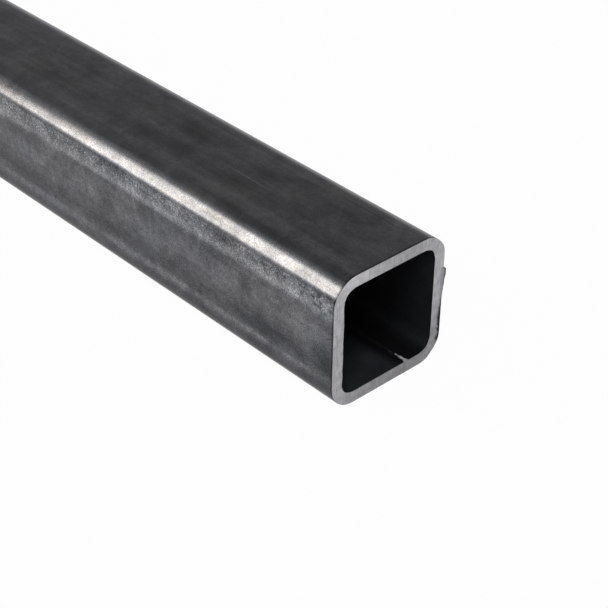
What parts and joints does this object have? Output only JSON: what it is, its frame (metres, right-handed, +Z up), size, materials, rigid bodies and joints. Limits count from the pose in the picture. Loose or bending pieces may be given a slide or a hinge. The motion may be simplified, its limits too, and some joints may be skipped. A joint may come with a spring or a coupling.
{
  "type": "square steel tube",
  "caption": "Square structural steel tube with rounded corners, an inside weld flash and a saw burr on one end, a length of stock for frames, legs and sleeves.",
  "frame": {"origin": "centre of the bottom face, halfway along the tube", "axes": "+X along the tube towards the burred sawn end, +Y across the tube towards the wall with the burr, +Z up, away from the welded wall that it lies on"},
  "size_m": [0.6105, 0.0514, 0.0508],
  "materials": {
    "steel": "dark blue-grey hot-rolled mill scale with bright rubbed streaks, bare saw-cut ends"
  },
  "bodies": {
    "root": {"tube": "steel"}
  },
  "joints": []
}
